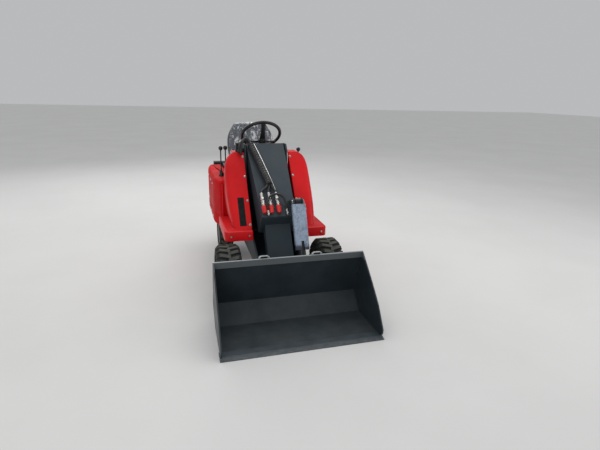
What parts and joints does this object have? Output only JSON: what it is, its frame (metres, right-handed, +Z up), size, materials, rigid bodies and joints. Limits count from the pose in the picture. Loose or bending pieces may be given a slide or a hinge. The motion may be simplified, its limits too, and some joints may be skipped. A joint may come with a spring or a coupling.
{
  "type": "mini wheel loader",
  "caption": "Compact ride-on wheel loader with a straight boom, a wide bucket, a hitch, hydraulic cylinders, red bodywork, a seat and steered rear wheels.",
  "frame": {"origin": "on the ground, at the centre of the bounding box's base", "axes": "+Z up, -Y towards the bucket, +X towards the machine's left side"},
  "size_m": [0.98, 2.15, 1.2036],
  "materials": {
    "red_paint": "satin enamel",
    "dark_paint": "satin enamel",
    "bucket_paint": "satin enamel",
    "edge_steel": "worn",
    "cast_iron": "painted casting",
    "seat_vinyl": "vinyl",
    "black_plastic": "moulded",
    "hose_rubber": "matte",
    "bright_steel": "polished",
    "cap_red": "moulded",
    "barrel_paint": "satin enamel",
    "galvanised": "galvanised",
    "tyre_rubber": "matte",
    "rim_paint": "satin enamel"
  },
  "bodies": {
    "chassis": {"chassis_frame": "dark_paint", "boom_tower": "dark_paint", "front_wheel_motors": "cast_iron", "front_cowl_left": "red_paint", "front_cowl_right": "red_paint", "front_fender_left": "red_paint", "front_fender_right": "red_paint", "side_pod_left": "red_paint", "side_pod_right": "red_paint", "floor_plate": "dark_paint", "engine_block": "cast_iron", "engine_cover": "dark_paint", "counterweight": "cast_iron", "seat_cushion": "seat_vinyl", "seat_back": "seat_vinyl", "dash_panel": "dark_paint", "steering_column": "black_plastic", "control_levers": "black_plastic", "valve_box": "black_plastic", "rear_axle": "dark_paint"},
    "boom": {"boom_arm": "dark_paint", "hose_bundle": "hose_rubber", "quick_couplers": "bright_steel", "coupler_caps": "cap_red", "boom_hoses": "hose_rubber"},
    "bucket": {"bucket": "bucket_paint", "cutting_edge": "edge_steel", "hitch_plate": "bucket_paint"},
    "lift_barrel": {"lift_cylinder_barrel": "barrel_paint"},
    "lift_rod": {"lift_cylinder_rod": "bright_steel"},
    "tilt_barrel": {"tilt_cylinder_barrel": "barrel_paint", "tilt_guard": "galvanised"},
    "tilt_rod": {"tilt_cylinder_rod": "bright_steel"},
    "knuckle_left": {"knuckle_left": "dark_paint"},
    "knuckle_right": {"knuckle_right": "dark_paint"},
    "steering_rod": {"steering_rod": "bright_steel"},
    "front_wheel_left": {"front_tyre_left": "tyre_rubber", "front_rim_left": "rim_paint"},
    "front_wheel_right": {"front_tyre_right": "tyre_rubber", "front_rim_right": "rim_paint"},
    "rear_wheel_left": {"rear_tyre_left": "tyre_rubber", "rear_rim_left": "rim_paint"},
    "rear_wheel_right": {"rear_tyre_right": "tyre_rubber", "rear_rim_right": "rim_paint"},
    "steering_wheel": {"steering_wheel": "black_plastic"}
  },
  "joints": [
    {"name": "boom_lift", "type": "hinge", "parent": "chassis", "child": "boom", "pos_m": [0, 0.175, 0.98], "axis": [-1, 0, 0], "range_deg": [0, 75]},
    {"name": "bucket_tilt", "type": "hinge", "parent": "boom", "child": "bucket", "pos_m": [0, -0.53, 0.09], "axis": [1, 0, 0], "range_deg": [-20, 100]},
    {"name": "lift_barrel_swing", "type": "hinge", "parent": "chassis", "child": "lift_barrel", "pos_m": [0, 0.165, 0.34], "axis": [-1, 0, 0], "range_deg": [-0.5, 4]},
    {"name": "lift_rod_slide", "type": "slide", "parent": "lift_barrel", "child": "lift_rod", "axis": [0, -0.3786, 0.9255], "range_m": [0, 0.342]},
    {"name": "tilt_barrel_swing", "type": "hinge", "parent": "boom", "child": "tilt_barrel", "pos_m": [0.122, -0.375, 0.7], "axis": [1, 0, 0], "range_deg": [-5, 2]},
    {"name": "tilt_rod_slide", "type": "slide", "parent": "tilt_barrel", "child": "tilt_rod", "axis": [0, -0.4138, -0.9104], "range_m": [-0.055, 0.26]},
    {"name": "steer_left", "type": "hinge", "parent": "chassis", "child": "knuckle_left", "pos_m": [0.185, 0.615, 0.18], "axis": [0, 0, 1], "range_deg": [-30, 30]},
    {"name": "steer_right", "type": "hinge", "parent": "chassis", "child": "knuckle_right", "pos_m": [-0.185, 0.615, 0.18], "axis": [0, 0, 1], "range_deg": [-31, 31]},
    {"name": "steering_rod_slide", "type": "slide", "parent": "chassis", "child": "steering_rod", "axis": [1, 0, 0], "range_m": [-0.043, 0.043]},
    {"name": "front_left_spin", "type": "hinge", "parent": "chassis", "child": "front_wheel_left", "pos_m": [0.3575, -0.355, 0.205], "axis": [1, 0, 0], "continuous": true},
    {"name": "front_right_spin", "type": "hinge", "parent": "chassis", "child": "front_wheel_right", "pos_m": [-0.3575, -0.355, 0.205], "axis": [1, 0, 0], "continuous": true},
    {"name": "rear_left_spin", "type": "hinge", "parent": "knuckle_left", "child": "rear_wheel_left", "pos_m": [0.28, 0.615, 0.18], "axis": [1, 0, 0], "continuous": true},
    {"name": "rear_right_spin", "type": "hinge", "parent": "knuckle_right", "child": "rear_wheel_right", "pos_m": [-0.28, 0.615, 0.18], "axis": [1, 0, 0], "continuous": true},
    {"name": "steering_wheel_turn", "type": "hinge", "parent": "chassis", "child": "steering_wheel", "pos_m": [0, 0.325, 1.087], "axis": [0, 0.682, 0.7314], "continuous": true}
  ],
  "couplings": [
    {"joint": "lift_barrel_swing", "follows": "boom_lift", "ratio": 0.0401},
    {"joint": "lift_rod_slide", "follows": "boom_lift", "m_per_rad": 0.2588},
    {"joint": "tilt_barrel_swing", "follows": "bucket_tilt", "ratio": -0.04},
    {"joint": "tilt_rod_slide", "follows": "bucket_tilt", "m_per_rad": 0.146},
    {"joint": "steer_right", "follows": "steer_left", "ratio": 1},
    {"joint": "steering_rod_slide", "follows": "steer_left", "m_per_rad": -0.08}
  ]
}
